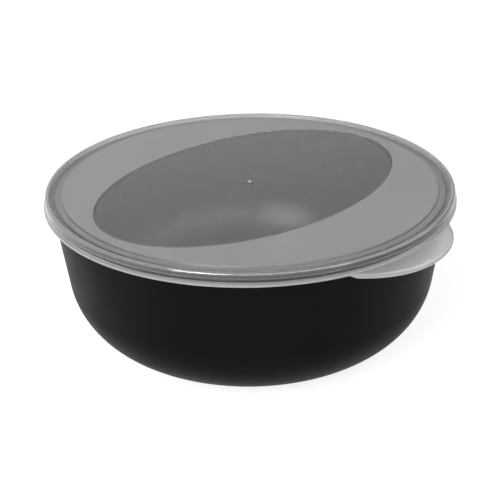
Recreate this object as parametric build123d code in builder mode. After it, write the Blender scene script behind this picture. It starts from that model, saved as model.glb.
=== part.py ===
"""A round kitchen bowl with a press-on see-through lid, in millimetres.

+Z is up. The origin is the centre of the flat base, the lid's pull tab points
to -Y, and the long axis of the lid's oval window lies along X.
"""

from build123d import *
from math import cos, radians, sin, tan
import os

# Bowl, driving dimensions
wall_draft = 7.3                # degrees, the straight wall leans outwards
wall_thickness = 1.9
wall_radius_at_flange = 119.87  # outside of the wall, level with the lid's flange
corner_radius = 46.0            # outside arc between the wall and the flat base
lip_radius = 121.7              # outside of the snap lip round the mouth
lip_bottom = 90.6
lip_undercut = 1.0              # height of the slope under the lip
lip_rounding = 0.4
rim_top = 92.7
rim_rounding = 1.2

# Lid, driving dimensions
lid_radius = 125.0              # outside of the flange
flange_bottom = 88.5
flange_thickness = 1.9
skirt_radius = 123.1
lid_thickness = 1.1
bead_radius = 1.6               # half-round bead on top of the lid's edge
bead_centre = 122.5
bead_base = flange_bottom + 6.15
bead_side = 1.6                 # straight side under the bead
groove_height = flange_bottom + 5.5
neck_height = 3.0               # above the flange's underside, where the skirt narrows
border_top = flange_bottom + 5.9
border_outer = 118.2            # flat border between the groove and the raised panel
border_slope = 0.5              # from the border down to the groove beside the bead
panel_top = flange_bottom + 7.05
step_radius = 114.6             # foot of the step from the border up to the panel
step_slope = 0.5
channel_top = 93.0              # ceiling over the bowl's rim
channel_lag = 0.2               # the inside of the skirt widens this much higher than the outside
snap_radius = 122.05            # inside of the skirt, where the lip passes
lead_in = 0.7                   # funnel at the bottom of the skirt
plug_outer = 117.6              # sealing ring that hangs inside the bowl's mouth
plug_thickness = 1.0
plug_flare = 0.2                # the ring widens outwards to its root
plug_bottom = 88.2

# Window and gate mark
window_length = 215.2
window_width = 140.8
window_depth = 0.15             # the polished oval lies just under the frosted face
gate_radius = 0.8
gate_height = 0.4

# Pull tab
tab_centre = 84.4               # from the lid's axis to the centre of the tab's round edge
tab_radius = 54.8
tab_thickness = 1.3
tab_edge_radius = 1.4           # round bead along the tab's edge
tab_edge_drop = 0.5             # that bead's centre lies this far below the plate's middle
tab_droop = 2.6                 # degrees below level
tab_top_at_flange = flange_bottom + 1.0
tab_root_radius = 123.0         # where the tab ends inside the flange
tab_ring_inside = 30.0          # inner side of the ring that the tab is cut from

# Values worked out from the driving dimensions
draft = radians(wall_draft)
corner_centre = wall_radius_at_flange - (
    corner_radius + sin(draft) * (flange_bottom - corner_radius)
) / cos(draft)
inner_corner_radius = corner_radius - wall_thickness


def wall_outside(height):
    """Outside radius of the straight wall at this height."""
    return wall_radius_at_flange + (height - flange_bottom) * tan(draft)


def wall_inside(height):
    """Inside radius of the straight wall at this height."""
    return wall_outside(height) - wall_thickness / cos(draft)


# The bowl: one section turned round the axis
with BuildPart() as bowl:
    with BuildSketch(Plane.XZ):
        with BuildLine():
            outer_corner = CenterArc(
                (corner_centre, corner_radius), corner_radius, -90, 90 - wall_draft
            )
            inner_corner = CenterArc(
                (corner_centre, corner_radius), inner_corner_radius, -90, 90 - wall_draft
            )
            Polyline((0, wall_thickness), (0, 0), outer_corner @ 0)
            Polyline(
                outer_corner @ 1,
                (wall_outside(lip_bottom - lip_undercut), lip_bottom - lip_undercut),
                (lip_radius, lip_bottom),
                (lip_radius, rim_top),
                (wall_inside(rim_top), rim_top),
                inner_corner @ 1,
            )
            Line(inner_corner @ 0, (0, wall_thickness))
        make_face()
    revolve(axis=Axis.Z)
    rim_edges = bowl.edges().filter_by(GeomType.CIRCLE).group_by(Axis.Z)[-1]
    fillet(rim_edges, rim_rounding)
    fillet(bowl.edges().filter_by_position(Axis.Z, lip_bottom, lip_bottom), lip_rounding)

# The lid: the pull tab is cut from a tilted ring, then the round lid is turned over it
droop = radians(tab_droop)
tab_mid_at_flange = tab_top_at_flange - tab_thickness / 2
tab_plane = Plane(
    origin=(0, -tab_centre, tab_mid_at_flange + (lid_radius - tab_centre) * tan(droop)),
    x_dir=(1, 0, 0),
    z_dir=(0, -cos(droop), -sin(droop)),
)
tab_axis = Axis(tab_plane.origin, tab_plane.y_dir)
tab_edge_centre = tab_radius - tab_edge_radius

# Corners of the lid's section, as (radius, height), and the rounding that each one gets
bead_outside = bead_centre + bead_radius
bead_foot = (bead_outside, bead_base - bead_side)
skirt_top = (skirt_radius, flange_bottom + neck_height)
skirt_foot = (skirt_radius, flange_bottom + flange_thickness)
flange_top_edge = (lid_radius, flange_bottom + flange_thickness)
flange_low_edge = (lid_radius, flange_bottom)
channel_foot = (snap_radius, flange_bottom + neck_height + channel_lag)
channel_corner = (bead_outside - lid_thickness, bead_base - bead_side + channel_lag)
plug_outer_edge = (plug_outer, plug_bottom)
plug_inner_edge = (plug_outer - plug_thickness, plug_bottom)
plug_root = (plug_outer - plug_thickness - plug_flare / 2, border_top - lid_thickness)
step_foot = (step_radius, border_top)
step_top = (step_radius - step_slope, panel_top)
step_foot_below = (step_radius - lid_thickness, border_top - lid_thickness)
step_top_below = (step_radius - step_slope - lid_thickness, panel_top - lid_thickness)
border_corner = (border_outer, border_top)
lid_roundings = (
    (bead_foot, 1.5),
    (skirt_top, 1.5),
    (skirt_foot, 0.3),
    (flange_top_edge, 0.5),
    (flange_low_edge, 0.35),
    (channel_foot, 0.5),
    (channel_corner, 0.5),
    (plug_outer_edge, 0.45),
    (plug_inner_edge, 0.45),
    (plug_root, 0.6),
    (step_foot, 0.3),
    (step_top, 0.4),
    (step_foot_below, 0.4),
    (step_top_below, 0.3),
    (border_corner, 0.4),
)

with BuildPart() as lid:
    with BuildSketch(tab_plane):
        with Locations((tab_ring_inside, 0)):
            Rectangle(
                tab_edge_centre - tab_ring_inside,
                tab_thickness,
                align=(Align.MIN, Align.CENTER),
            )
        with Locations((tab_edge_centre, -tab_edge_drop)):
            Circle(tab_edge_radius)
    revolve(axis=tab_axis)
    with BuildSketch(Plane.XY):
        Circle(tab_root_radius)
    extrude(amount=2 * flange_bottom, mode=Mode.SUBTRACT)

    with BuildSketch(Plane.XZ) as lid_section:
        with BuildLine():
            bead = CenterArc((bead_centre, bead_base), bead_radius, 0, 180)
            hollow = CenterArc((bead_centre, bead_base), bead_radius - lid_thickness, 0, 180)
            Polyline(
                bead @ 0,
                bead_foot,
                skirt_top,
                skirt_foot,
                flange_top_edge,
                flange_low_edge,
                (snap_radius + lead_in, flange_bottom),
                (snap_radius, flange_bottom + lead_in),
                channel_foot,
                channel_corner,
                hollow @ 0,
            )
            Polyline(
                hollow @ 1,
                (bead_centre - bead_radius + lid_thickness, channel_top),
                (plug_outer + plug_flare, channel_top),
                plug_outer_edge,
                plug_inner_edge,
                plug_root,
                step_foot_below,
                step_top_below,
                (0, panel_top - lid_thickness),
                (0, panel_top),
                step_top,
                step_foot,
                border_corner,
                (border_outer + border_slope, groove_height),
                (bead_centre - bead_radius, groove_height),
                bead @ 1,
            )
        make_face()
        for corner, radius in lid_roundings:
            fillet(lid_section.vertices().sort_by_distance(corner)[0], radius)
    revolve(axis=Axis.Z)

    with BuildSketch(Plane.XY.offset(panel_top)):
        Ellipse(window_length / 2, window_width / 2)
    extrude(amount=-window_depth, mode=Mode.SUBTRACT)

    with BuildSketch(Plane.XY.offset(panel_top - window_depth)):
        Circle(gate_radius)
    extrude(amount=gate_height)

for piece, name in ((bowl, "bowl"), (lid, "lid")):
    piece.part.label = name

os.makedirs("parts", exist_ok=True)
export_step(bowl.part, "parts/bowl.step")
export_step(lid.part, "parts/lid.step")
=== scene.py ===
"""The looks of the lidded bowl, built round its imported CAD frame, in metres.

The bowl and the lid are closed turned meshes that follow the CAD model's own sections. The
lid's flange runs out into the pull tab. Both pieces have procedural plastics.
"""

import math

import bpy
from mathutils import Matrix, Vector


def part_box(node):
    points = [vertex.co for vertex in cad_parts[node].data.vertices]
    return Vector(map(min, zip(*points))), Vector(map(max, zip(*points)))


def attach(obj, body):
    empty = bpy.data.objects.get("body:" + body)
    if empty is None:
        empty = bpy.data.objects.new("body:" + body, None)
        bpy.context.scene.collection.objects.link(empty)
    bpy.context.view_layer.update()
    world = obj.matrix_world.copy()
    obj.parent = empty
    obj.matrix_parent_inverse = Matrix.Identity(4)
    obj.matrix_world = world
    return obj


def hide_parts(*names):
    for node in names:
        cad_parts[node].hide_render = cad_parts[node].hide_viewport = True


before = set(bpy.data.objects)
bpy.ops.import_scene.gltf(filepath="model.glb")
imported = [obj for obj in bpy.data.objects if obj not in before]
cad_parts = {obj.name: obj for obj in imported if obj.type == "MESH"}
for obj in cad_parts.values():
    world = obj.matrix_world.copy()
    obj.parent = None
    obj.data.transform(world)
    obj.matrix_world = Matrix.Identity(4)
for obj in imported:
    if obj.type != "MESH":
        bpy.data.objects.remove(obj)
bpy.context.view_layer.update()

MM = 0.001

# ---------------------------------------------------------------- sizes from the frame
bowl_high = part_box("bowl")[1]
lid_low, lid_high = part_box("lid")
rim_top = bowl_high.z
lip_radius = bowl_high.x
bead_top = lid_high.z
flange_radius = lid_high.x
tab_tip = -lid_low.y

# Bowl section
wall_draft = math.radians(7.3)
wall_thickness = 1.9 * MM
corner_radius = 46 * MM
lip_bottom = rim_top - 2.1 * MM
lip_undercut = 1.0 * MM
lip_rounding = 0.4 * MM
rim_rounding = 1.2 * MM
lip_overhang = 1.69 * MM        # the lip stands out from the wall by this much

# Lid section
bead_radius = 1.6 * MM
bead_centre = flange_radius - 2.5 * MM
bead_outside = bead_centre + bead_radius
bead_base = bead_top - bead_radius
bead_foot = bead_base - 1.6 * MM
flange_bottom = bead_top - 7.75 * MM
groove_height = flange_bottom + 5.5 * MM
flange_thickness = 1.9 * MM
flange_top = flange_bottom + flange_thickness
neck_height = flange_bottom + 3.0 * MM
skirt_radius = flange_radius - 1.9 * MM
lid_thickness = 1.1 * MM
border_top = flange_bottom + 5.9 * MM
border_outer = flange_radius - 6.8 * MM
border_slope = 0.5 * MM
panel_top = flange_bottom + 7.05 * MM
panel_bottom = panel_top - lid_thickness
step_radius = flange_radius - 10.4 * MM
step_slope = 0.5 * MM
panel_radius = step_radius - step_slope
channel_top = rim_top + 0.3 * MM
channel_lag = 0.2 * MM          # the skirt's inside widens this much higher than its outside
snap_radius = lip_radius + 0.35 * MM
lead_in = 0.7 * MM
plug_outer = flange_radius - 7.4 * MM
plug_inner = plug_outer - 1.0 * MM
plug_bottom = flange_bottom - 0.3 * MM
full_round = 0.99               # share of a radius that rounds a corner almost to a half circle
edge_rounding = 0.5 * MM
edge_rounding_low = 0.35 * MM

# Window and gate mark
window_a = 107.6 * MM
window_b = 70.4 * MM
window_depth = 0.15 * MM
window_slope = 0.25 * MM        # width of the soft step round the window
window_margin = 0.1 * MM        # the step starts this far inside the window's edge
gate_radius = 0.8 * MM
gate_height = 0.4 * MM
gate_foot = 1.6                 # the window's mesh starts at this many gate radii
panel_margin = 0.8 * MM         # the panel's mesh ends this far inside its rounded corner

# Pull tab
tab_radius = 54.8 * MM
tab_centre = tab_tip - tab_radius
tab_droop = math.radians(2.6)
tab_half = 0.65 * MM            # half of the plate's thickness
tab_edge_radius = 1.4 * MM      # round bead along the tab's edge
tab_edge_drop = 0.5 * MM        # that bead's centre lies this far below the plate's middle
tab_top = flange_bottom + 1.0 * MM
tab_blend = 3.0 * MM            # rounding where the tab's outline leaves the flange
tab_fade = 2.5 * MM             # the flange's section becomes the tab's over this reach
tab_root = flange_radius + 0.4 * MM
tab_plate_end = 2.9 * MM        # the flat plate ends this far inside the tab's edge
tab_plate_least = 0.2 * MM      # shortest plate, where the tab is narrow
tab_arc_start = 125             # degrees above level, where the edge's bead leaves the plate
tab_arc = 299                   # degrees round the bead, from its top to its underside
tab_angle = math.radians(-90)


# ---------------------------------------------------------------- mesh helpers
def rounded(corners, spacing=0.35 * MM):
    """Points along a section whose corners are (radius, height, rounding)."""
    points = [Vector(corners[0][:2])]
    for before, here, after in zip(corners, corners[1:], corners[2:]):
        corner = Vector(here[:2])
        rounding = here[2] if len(here) > 2 else 0
        to_before = (Vector(before[:2]) - corner).normalized()
        to_after = (Vector(after[:2]) - corner).normalized()
        if not rounding:
            points.append(corner)
            continue
        half = to_before.angle(to_after) / 2
        centre = corner + (to_before + to_after).normalized() * rounding / math.sin(half)
        start = corner + to_before * rounding / math.tan(half) - centre
        end = corner + to_after * rounding / math.tan(half) - centre
        turn = start.angle_signed(end)
        steps = max(3, min(40, math.ceil(abs(turn) * rounding / spacing)))
        for step in range(steps + 1):
            points.append(centre + Matrix.Rotation(-turn * step / steps, 2) @ start)
    points.append(Vector(corners[-1][:2]))
    return points


def turned_mesh(name, rings, angles, first, last, slots):
    """A closed mesh between two points on the axis.

    rings are lists of one point per angle, and slots gives the material of the band
    that ends at each ring, and of the cap after the last one.
    """
    count = len(angles)
    vertices = [first]
    for ring in rings:
        vertices.extend(ring)
    vertices.append(last)
    faces = []
    materials = []
    for i in range(count):
        faces.append((0, 1 + i, 1 + (i + 1) % count))
        materials.append(slots[0])
    for k in range(len(rings) - 1):
        inner = 1 + k * count
        outer = inner + count
        for i in range(count):
            j = (i + 1) % count
            faces.append((inner + i, outer + i, outer + j, inner + j))
            materials.append(slots[k + 1])
    inner = 1 + (len(rings) - 1) * count
    for i in range(count):
        faces.append((inner + i, len(vertices) - 1, inner + (i + 1) % count))
        materials.append(slots[-1])
    mesh = bpy.data.meshes.new(name)
    mesh.from_pydata([tuple(v) for v in vertices], [], faces)
    mesh.polygons.foreach_set("material_index", materials)
    mesh.polygons.foreach_set("use_smooth", [True] * len(faces))
    mesh.update()
    mesh.set_sharp_from_angle(angle=math.radians(40))
    piece = bpy.data.objects.new(name, mesh)
    bpy.context.scene.collection.objects.link(piece)
    return piece


def circle_ring(point, angles):
    return [(point[0] * math.cos(a), point[0] * math.sin(a), point[1]) for a in angles]


def smoothstep(x):
    x = min(1.0, max(0.0, x))
    return x * x * (3 - 2 * x)


def smooth_max(a, b, width):
    """The larger of the two, rounded where they are closer than width."""
    gap = max(0.0, width - abs(a - b)) / width
    return max(a, b) + gap * gap * width / 4


# ---------------------------------------------------------------- materials
def new_material(name):
    material = bpy.data.materials.new(name)
    material.use_nodes = True
    nodes = material.node_tree.nodes
    return material, nodes, material.node_tree.links, nodes["Principled BSDF"]


def add_grain(nodes, links, shader, scale, distance, strength):
    """Fine moulded grain from object-space noise, scale in grains per metre."""
    place = nodes.new("ShaderNodeTexCoord")
    noise = nodes.new("ShaderNodeTexNoise")
    noise.inputs["Scale"].default_value = scale
    noise.inputs["Detail"].default_value = 3
    bump = nodes.new("ShaderNodeBump")
    bump.inputs["Distance"].default_value = distance
    bump.inputs["Strength"].default_value = strength
    links.new(place.outputs["Object"], noise.inputs["Vector"])
    links.new(noise.outputs["Fac"], bump.inputs["Height"])
    links.new(bump.outputs["Normal"], shader.inputs["Normal"])
    return place


def add_variation(nodes, links, place, target, low, high, scale):
    """Slow change of a colour or a roughness over the surface."""
    noise = nodes.new("ShaderNodeTexNoise")
    noise.inputs["Scale"].default_value = scale
    noise.inputs["Detail"].default_value = 4
    links.new(place.outputs["Object"], noise.inputs["Vector"])
    if isinstance(low, tuple):
        ramp = nodes.new("ShaderNodeValToRGB")
        ramp.color_ramp.elements[0].position = 0.3
        ramp.color_ramp.elements[0].color = (*low, 1)
        ramp.color_ramp.elements[1].position = 0.7
        ramp.color_ramp.elements[1].color = (*high, 1)
        links.new(noise.outputs["Fac"], ramp.inputs["Fac"])
        links.new(ramp.outputs["Color"], target)
    else:
        spread = nodes.new("ShaderNodeMapRange")
        spread.inputs["From Min"].default_value = 0.3
        spread.inputs["From Max"].default_value = 0.7
        spread.inputs["To Min"].default_value = low
        spread.inputs["To Max"].default_value = high
        links.new(noise.outputs["Fac"], spread.inputs["Value"])
        links.new(spread.outputs["Result"], target)


def bowl_plastic(name, rough_low, rough_high, specular):
    material, nodes, links, shader = new_material(name)
    shader.inputs["Specular IOR Level"].default_value = specular
    place = add_grain(nodes, links, shader, 2500, 0.05 * MM, 0.25)
    add_variation(nodes, links, place, shader.inputs["Roughness"], rough_low, rough_high, 30)
    add_variation(
        nodes, links, place, shader.inputs["Base Color"],
        (0.0030, 0.0030, 0.0027), (0.0042, 0.0041, 0.0037), 18,
    )
    return material


def lid_plastic(name, transmission, roughness, colours, grain, strength, coat):
    """Translucent plastic, glossier as its coat goes from 0 to 1."""
    material, nodes, links, shader = new_material(name)
    shader.inputs["Coat Weight"].default_value = coat
    shader.inputs["Coat Roughness"].default_value = 0.08
    shader.inputs["Coat IOR"].default_value = 1.8
    shader.inputs["IOR"].default_value = 1.49
    shader.inputs["Transmission Weight"].default_value = transmission
    place = add_grain(nodes, links, shader, grain, 0.04 * MM, strength)
    add_variation(nodes, links, place, shader.inputs["Roughness"], *roughness, 25)
    add_variation(nodes, links, place, shader.inputs["Base Color"], *colours, 15)
    return material


# ---------------------------------------------------------------- bowl
def wall_outside(height):
    return lip_radius - lip_overhang + (height - lip_bottom + lip_undercut) * math.tan(wall_draft)


def wall_inside(height):
    return wall_outside(height) - wall_thickness / math.cos(wall_draft)


def make_bowl():
    lip_root = lip_bottom - lip_undercut
    outline = rounded([
        (0, 0),
        (wall_outside(0), 0, corner_radius),
        (wall_outside(lip_root), lip_root, lip_rounding),
        (lip_radius, lip_bottom, lip_rounding),
        (lip_radius, rim_top, rim_rounding),
        (wall_inside(rim_top), rim_top, rim_rounding),
        (wall_inside(wall_thickness), wall_thickness, corner_radius - wall_thickness),
        (0, wall_thickness),
    ])
    angles = [2 * math.pi * i / 360 for i in range(360)]
    first = Vector((0, 0, 0))
    last = Vector((0, 0, wall_thickness))
    section = outline[1:-1]
    rings = [circle_ring(p, angles[::-1]) for p in section]
    inside_from = next(i for i, p in enumerate(section) if p.y >= rim_top - 1e-9)
    slots = [0 if i <= inside_from else 1 for i in range(len(section) + 1)]
    piece = turned_mesh("bowl_shell", rings, angles, first, last, slots)
    piece.data.materials.append(bowl_plastic("bowl_outside", 0.40, 0.48, 0.03))
    piece.data.materials.append(bowl_plastic("bowl_inside", 0.24, 0.30, 0.5))
    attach(piece, "bowl")
    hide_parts("bowl")


# ---------------------------------------------------------------- lid
WINDOW, FROSTED, EDGE, TAB, BEAD, UNDER, GATE, GROOVE = range(8)

# In the order of the slots above: name, transmission, roughness from and to, colour from and
# to, grains per metre, strength of the grain, coat. The dark grey colours of the edge and the bead
# are painted shade, which darkens the clear rim all round.
LID_FINISHES_AND_PAINTED_SHADE = (
    ("lid_window", 0.99, (0.06, 0.10), ((0.82, 0.83, 0.85), (0.86, 0.87, 0.89)), 1500, 0.02, 0),
    ("lid_frosted", 0.83, (0.42, 0.50), ((0.72, 0.72, 0.71), (0.76, 0.76, 0.75)), 3500, 0.3, 0),
    # the edge: a dark grey tint on the clear skirt, painted shade
    ("lid_edge_painted_shade", 0.96, (0.10, 0.14), ((0.26, 0.26, 0.28), (0.30, 0.30, 0.32)), 1500, 0.03, 0),
    ("lid_tab", 0.75, (0.30, 0.38), ((0.70, 0.70, 0.69), (0.74, 0.74, 0.73)), 3000, 0.15, 0),
    # the bead: a darker grey tint, painted shade, under a glossy coat
    ("lid_bead_painted_shade", 0.86, (0.12, 0.16), ((0.46, 0.46, 0.48), (0.50, 0.50, 0.52)), 2000, 0.03, 1),
    ("lid_underside", 0.95, (0.35, 0.45), ((0.80, 0.80, 0.81), (0.84, 0.84, 0.85)), 2500, 0.1, 0),
    ("lid_gate", 0.55, (0.30, 0.36), ((0.90, 0.90, 0.89), (0.94, 0.94, 0.93)), 3000, 0.1, 0),
    ("lid_groove", 0.94, (0.20, 0.26), ((0.84, 0.84, 0.86), (0.88, 0.88, 0.90)), 2000, 0.05, 0),
)


def window_radius(angle):
    return 1 / math.hypot(math.cos(angle) / window_a, math.sin(angle) / window_b)


def tab_edge(angle):
    """Radius of the lid's outermost edge at this angle, flange or tab."""
    off = (angle - tab_angle + math.pi) % (2 * math.pi) - math.pi
    reach = tab_radius ** 2 - (tab_centre * math.sin(off)) ** 2
    if reach <= 0 or abs(off) > math.pi / 2:
        return flange_radius
    return smooth_max(flange_radius, tab_centre * math.cos(off) + math.sqrt(reach), tab_blend)


def edge_ring_points(angle, steps_plate=8, steps_edge=14, steps_corner=4):
    """Points from the flange's top, round the outer edge, to its underside, at one angle."""
    edge = tab_edge(angle)
    share = smoothstep((edge - flange_radius) / tab_fade)
    droop = math.tan(tab_droop)

    def tab_mid(radius):
        return tab_top - tab_half - droop * max(0.0, radius - flange_radius)

    # top of the tab: off the flange's soft step, along the plate, up to the edge's bead
    bead_start = max(tab_root + tab_plate_least, edge - tab_plate_end)
    on_tab = []
    on_flange = []
    start = flange_radius - edge_rounding
    for i in range(steps_corner + 1):
        t = i / steps_corner
        radius = start + (tab_root - start) * t
        height = flange_top + (tab_mid(tab_root) + tab_half - flange_top) * smoothstep(t)
        on_tab.append((radius, height))
        turn = t * math.pi / 2
        on_flange.append((
            start + edge_rounding * math.sin(turn),
            flange_top - edge_rounding * (1 - math.cos(turn)),
        ))
    side_top = flange_top - edge_rounding
    side_bottom = flange_bottom + edge_rounding_low
    side_count = steps_plate + steps_edge + steps_plate
    side_done = 0

    def next_side():
        nonlocal side_done
        side_done += 1
        return (flange_radius, side_top + (side_bottom - side_top) * side_done / (side_count + 1))

    for i in range(1, steps_plate + 1):
        t = i / steps_plate
        radius = tab_root + (bead_start - tab_root) * t
        on_tab.append((radius, tab_mid(radius) + tab_half))
        on_flange.append(next_side())
    bead_at = edge - tab_edge_radius
    for i in range(steps_edge):
        turn = math.radians(tab_arc_start - tab_arc * i / (steps_edge - 1))
        on_tab.append((
            max(bead_start, bead_at + tab_edge_radius * math.cos(turn)),
            tab_mid(bead_at) - tab_edge_drop + tab_edge_radius * math.sin(turn),
        ))
        on_flange.append(next_side())
    for i in range(steps_plate, 0, -1):
        t = i / steps_plate
        radius = tab_root + (bead_start - tab_root) * t
        on_tab.append((radius, tab_mid(radius) - tab_half))
        on_flange.append(next_side())
    start = flange_radius - edge_rounding_low
    for i in range(steps_corner + 1):
        t = 1 - i / steps_corner
        radius = start + (tab_root - start) * t
        height = flange_bottom + (tab_mid(tab_root) - tab_half - flange_bottom) * smoothstep(t)
        on_tab.append((radius, height))
        turn = t * math.pi / 2
        on_flange.append((
            start + edge_rounding_low * math.sin(turn),
            flange_bottom + edge_rounding_low * (1 - math.cos(turn)),
        ))
    return [
        (f[0] + (t[0] - f[0]) * share, f[1] + (t[1] - f[1]) * share)
        for f, t in zip(on_flange, on_tab)
    ]


def lid_angles():
    """Directions round the lid, four times as close together along the tab."""
    half = math.radians(28)
    near = 220
    far = 300
    angles = [tab_angle - half + 2 * half * i / near for i in range(near)]
    angles += [
        tab_angle + half + (2 * math.pi - 2 * half) * i / far for i in range(far)
    ]
    return angles


def panel_rings(angles, height, step, up):
    """Rings over the window and the frosted panel, from the gate mark outwards.

    step is how far the window lies below the panel's face, and up is true for the top.
    """
    rings = []
    slots = []

    def add(slot, radius_at, z):
        rings.append([(radius_at(a) * math.cos(a), radius_at(a) * math.sin(a), z) for a in angles])
        slots.append(slot)

    for t in (0.06, 0.15, 0.3, 0.45, 0.6, 0.75, 0.9, 0.97, 1.0):
        add(
            WINDOW,
            lambda a: gate_radius * gate_foot * (1 - t) + (window_radius(a) - window_margin) * t,
            height - step,
        )
    for t in (0.33, 0.67, 1.0):
        add(
            FROSTED if t == 1.0 else WINDOW,
            lambda a: window_radius(a) - window_margin + window_slope * t,
            height - step * (1 - smoothstep(t)),
        )
    outside = panel_radius - (panel_margin if up else lid_thickness + panel_margin)
    for t in (0.1, 0.3, 0.5, 0.7, 0.9, 1.0):
        add(
            FROSTED,
            lambda a: (window_radius(a) + window_slope) * (1 - t) + outside * t,
            height,
        )
    return rings, slots


def outer_finish_and_painted_shade(point):
    """The slot of the lid's outside here, between the panel and the flange. The edge and bead slots
    carry painted shade.
    """
    on_step = border_top + 0.1 * MM < point.y < panel_top - 0.1 * MM
    if point.x < border_outer + border_slope / 2:
        return UNDER if on_step else FROSTED
    # the bead's crest and outer flank take the darker bead tint, painted shade
    if point.y > bead_base + 0.3 * MM and point.x > bead_centre - 0.3 * bead_radius:
        return BEAD
    if point.y < flange_top + 0.05 * MM:
        return TAB
    # the groove starts 0.35 mm past the border's slope; the strip before it keeps the dark edge
    # tint, a painted shade line in the groove's inner corner
    if border_outer + border_slope + 0.35 * MM < point.x < bead_centre:
        return GROOVE
    # skirt, bead foot and the strip in the groove's inner corner: the dark edge tint, painted shade
    return EDGE


def make_lid():
    angles = lid_angles()
    rings = []
    slots = []

    # gate mark, a small flat-topped nub
    window_z = panel_top - window_depth
    first = Vector((0, 0, window_z + gate_height))
    for radius, height in (
        (gate_radius * 0.55, gate_height * 0.97),
        (gate_radius * 0.8, gate_height * 0.82),
        (gate_radius * 0.95, gate_height * 0.5),
        (gate_radius * 1.1, gate_height * 0.12),
        (gate_radius * 1.5, 0),
    ):
        rings.append(circle_ring((radius, window_z + height), angles))
        slots.append(GATE)

    top_rings, top_slots = panel_rings(angles, panel_top, window_depth, True)
    rings += top_rings
    slots += top_slots

    # step, border, groove, bead and skirt, down to the flange
    outer = rounded([
        (panel_radius - panel_margin, panel_top),
        (panel_radius, panel_top, 0.4 * MM),
        (step_radius, border_top, 0.3 * MM),
        (border_outer, border_top, 0.35 * MM),
        (border_outer + border_slope, groove_height, 0.25 * MM),
        (bead_centre - bead_radius, groove_height, 0.5 * MM),
        (bead_centre - bead_radius, bead_top, bead_radius * full_round),
        (bead_outside, bead_top, bead_radius * full_round),
        (bead_outside, bead_foot, 1.3 * MM),
        (skirt_radius, neck_height, 1.3 * MM),
        (skirt_radius, flange_top, 0.25 * MM),
        (flange_radius - edge_rounding, flange_top),
    ], spacing=0.25 * MM)
    for point in outer[1:-1]:
        rings.append(circle_ring(point, angles))
        slots.append(outer_finish_and_painted_shade(point))

    # flange and tab
    around = [edge_ring_points(a) for a in angles]
    for k in range(len(around[0])):
        rings.append([(p[k][0] * math.cos(a), p[k][0] * math.sin(a), p[k][1])
                      for p, a in zip(around, angles)])
        slots.append(TAB)

    # underside: funnel, snap, channel over the bowl's rim, hollow bead, sealing ring
    hollow = bead_radius - lid_thickness
    inner = rounded([
        (flange_radius - edge_rounding_low, flange_bottom),
        (snap_radius + lead_in, flange_bottom, 0.3 * MM),
        (snap_radius, flange_bottom + lead_in, 0.4 * MM),
        (snap_radius, neck_height + channel_lag, 0.5 * MM),
        (bead_outside - lid_thickness, bead_foot + channel_lag, 0.5 * MM),
        (bead_outside - lid_thickness, bead_base + hollow, hollow * 0.98),
        (bead_centre - hollow, bead_base + hollow, hollow * 0.98),
        (bead_centre - hollow, channel_top, 0.3 * MM),
        (plug_outer + 0.2 * MM, channel_top, 0.2 * MM),
        (plug_outer, plug_bottom, 0.45 * MM),
        (plug_inner, plug_bottom, 0.45 * MM),
        (plug_inner - 0.1 * MM, border_top - lid_thickness, 0.6 * MM),
        (step_radius - lid_thickness, border_top - lid_thickness, 0.4 * MM),
        (panel_radius - lid_thickness, panel_bottom, 0.3 * MM),
        (panel_radius - lid_thickness - panel_margin, panel_bottom),
    ], spacing=0.3 * MM)
    for point in inner[1:-1]:
        rings.append(circle_ring(point, angles))
        slots.append(UNDER)

    under_rings, under_slots = panel_rings(angles, panel_bottom, 0, False)
    rings += under_rings[::-1]
    slots += [FROSTED] + under_slots[::-1]
    last = Vector((0, 0, panel_bottom))

    piece = turned_mesh("lid_shell", rings, angles, first, last, slots)
    for finish in LID_FINISHES_AND_PAINTED_SHADE:
        piece.data.materials.append(lid_plastic(*finish))
    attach(piece, "lid")
    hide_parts("lid")


# ---------------------------------------------------------------- studio
def add_gradient(nodes, links, coordinate, direction, span, values, target):
    """A smooth change of target along a direction, between the two ends of span."""
    place = nodes.new("ShaderNodeTexCoord")
    along = nodes.new("ShaderNodeVectorMath")
    along.operation = "DOT_PRODUCT"
    along.inputs[1].default_value = direction
    spread = nodes.new("ShaderNodeMapRange")
    spread.interpolation_type = "SMOOTHSTEP"
    for name, value in zip(("From Min", "From Max", "To Min", "To Max"), (*span, *values)):
        spread.inputs[name].default_value = value
    links.new(place.outputs[coordinate], along.inputs[0])
    links.new(along.outputs["Value"], spread.inputs["Value"])
    links.new(spread.outputs["Result"], target)


def make_floor():
    bpy.ops.mesh.primitive_plane_add(size=40, location=(0, 0, 0))
    floor = bpy.context.object
    floor.name = "studio_floor"
    material, nodes, links, shader = new_material("floor_painted_glow")
    shader.inputs["Base Color"].default_value = (0.32, 0.32, 0.32, 1)
    shader.inputs["Emission Color"].default_value = (1, 1, 1, 1)
    shader.inputs["Roughness"].default_value = 0.9
    shader.inputs["Specular IOR Level"].default_value = 0.0
    # Painted light: the floor glows white, brighter to the bowl's left as if lit from there, and
    # the glow lightens the bowl's shadow on the floor.
    add_gradient(
        nodes, links, "Object", from_camera_side(-105, 0, 1),
        (-0.1, 0.35), (0.79, 1.1), shader.inputs["Emission Strength"],
    )
    floor.data.materials.append(material)


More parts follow.
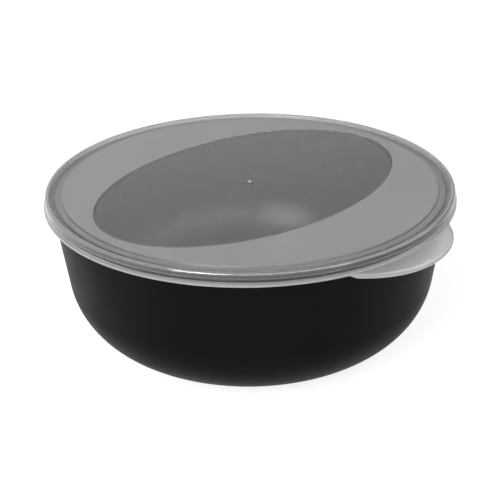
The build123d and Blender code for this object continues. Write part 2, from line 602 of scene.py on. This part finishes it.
def add_area(name, turn, rise, width, height, power):
    """A soft rectangular light that faces the bowl."""
    target = Vector((0, 0, 0.08))
    light = bpy.data.lights.new(name, "AREA")
    light.shape = "RECTANGLE"
    light.size = width
    light.size_y = height
    light.energy = power
    lamp = bpy.data.objects.new(name, light)
    lamp.location = from_camera_side(turn, rise, light_distance)
    lamp.rotation_euler = (target - lamp.location).to_track_quat("-Z", "Y").to_euler()
    bpy.context.scene.collection.objects.link(lamp)


# The camera is placed from the lid's flange, in flange radii and degrees.
camera_turn = -44.65
camera_rise = 23.235
camera_distance = 5.45
camera_pitch = 26.248
camera_yaw = 0.058
camera_roll = 1.042
camera_lens = 79.76
light_distance = 1.8


def from_camera_side(turn, rise, distance):
    """A place round the bowl: turn in degrees round +Z from the camera's side, rise above level."""
    a = math.radians(camera_turn + turn)
    e = math.radians(rise)
    return Vector((
        math.sin(a) * math.cos(e) * distance,
        -math.cos(a) * math.cos(e) * distance,
        math.sin(e) * distance,
    ))


def make_camera():
    camera_data = bpy.data.cameras.new("camera")
    camera = bpy.data.objects.new("camera", camera_data)
    bpy.context.scene.collection.objects.link(camera)
    camera_data.sensor_width = 36
    camera_data.lens = camera_lens
    middle = Vector((0, 0, flange_bottom))
    camera.location = middle + from_camera_side(0, camera_rise, camera_distance * flange_radius)
    turn = Matrix.Rotation(math.radians(camera_turn + camera_yaw), 3, "Z")
    tip = Matrix.Rotation(math.radians(90 - camera_pitch), 3, "X")
    roll = Matrix.Rotation(math.radians(-camera_roll), 3, "Z")
    camera.rotation_euler = (turn @ tip @ roll).to_euler()
    bpy.context.scene.camera = camera


def make_studio():
    world = bpy.data.worlds.new("studio_world")
    bpy.context.scene.world = world
    world.use_nodes = True
    nodes = world.node_tree.nodes
    background = nodes["Background"]
    background.inputs["Color"].default_value = (1, 1, 1, 1)
    # brightest behind the bowl and to its left, darker towards the front right
    add_gradient(
        nodes, world.node_tree.links, "Generated", from_camera_side(60, 10, 1),
        (-0.65, 0.7), (0.75, 0.10), background.inputs["Strength"],
    )
    add_area("key", -30, 36, 0.75, 1.2, 20)
    add_area("front_bank", 15, 36, 2.4, 0.8, 18)
    add_area("side_bank", 86, 40, 2.2, 0.8, 9)
    bpy.context.scene.view_settings.view_transform = "Standard"


make_camera()
make_floor()
make_studio()
make_bowl()
make_lid()
